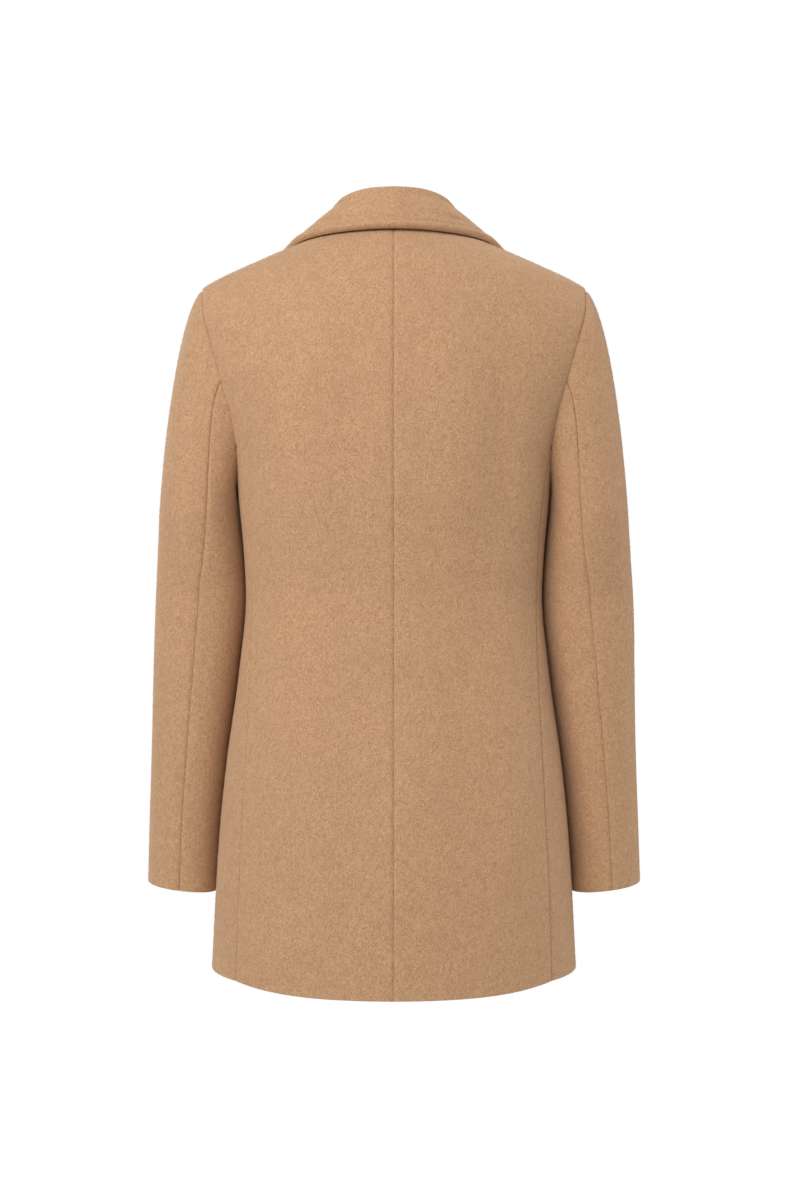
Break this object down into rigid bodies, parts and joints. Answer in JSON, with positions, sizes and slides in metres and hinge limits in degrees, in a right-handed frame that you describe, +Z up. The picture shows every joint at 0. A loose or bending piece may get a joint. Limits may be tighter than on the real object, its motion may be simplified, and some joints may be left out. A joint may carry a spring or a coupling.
{
  "type": "blazer",
  "caption": "Waisted wool blazer, hollow as if worn, with notched lapels, a fall collar, set-in two-piece sleeves and a buttoned front.",
  "frame": {"origin": "on the centre plane between the shoulders, where the wearer carries the garment, a little below the neck seam", "axes": "-Y is where the wearer faces, +X is the wearer's left and +Z is up, from hem to collar"},
  "size_m": [0.5244, 0.2783, 0.8094],
  "materials": {
    "back_wool": "brushed",
    "side_wool": "brushed",
    "front_wool": "brushed",
    "lapel_wool": "brushed",
    "collar_wool": "brushed",
    "top_sleeve_wool": "brushed",
    "under_sleeve_wool": "brushed",
    "button_horn": "satin"
  },
  "bodies": {
    "root": {"back_left": "back_wool", "back_right": "back_wool", "button_lower": "button_horn", "button_upper": "button_horn", "collar": "collar_wool", "front_left": "front_wool", "front_right": "front_wool", "lapel_left": "lapel_wool", "lapel_right": "lapel_wool", "side_left": "side_wool", "side_right": "side_wool", "top_sleeve_left": "top_sleeve_wool", "top_sleeve_right": "top_sleeve_wool", "under_sleeve_left": "under_sleeve_wool", "under_sleeve_right": "under_sleeve_wool"}
  },
  "joints": []
}
